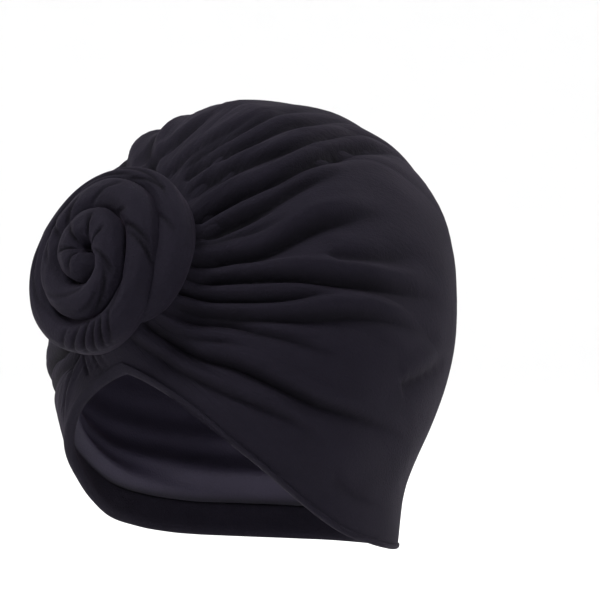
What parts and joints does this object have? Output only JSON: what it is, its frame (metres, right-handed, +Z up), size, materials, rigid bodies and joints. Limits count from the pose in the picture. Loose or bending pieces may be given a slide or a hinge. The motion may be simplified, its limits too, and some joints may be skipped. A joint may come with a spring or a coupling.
{
  "type": "turban headwrap",
  "caption": "Pull-on knit turban in worn form: pleats fan from a coiled knot over the forehead, with a satin lining and a turned-in band along the rim.",
  "frame": {"origin": "highest point of the inside of the lining, where the top of a head carries the cap", "axes": "+Z up, -Y the way the wearer faces, +X the wearer's left; the knot is at the front, over the forehead"},
  "size_m": [0.2068, 0.2519, 0.2368],
  "materials": {
    "outer_knit": "matt brushed jersey",
    "lining_satin": "soft satin"
  },
  "bodies": {
    "root": {"crown_shell": "outer_knit", "hem_band": "outer_knit", "satin_lining": "lining_satin", "knot_coil": "outer_knit"}
  },
  "joints": []
}
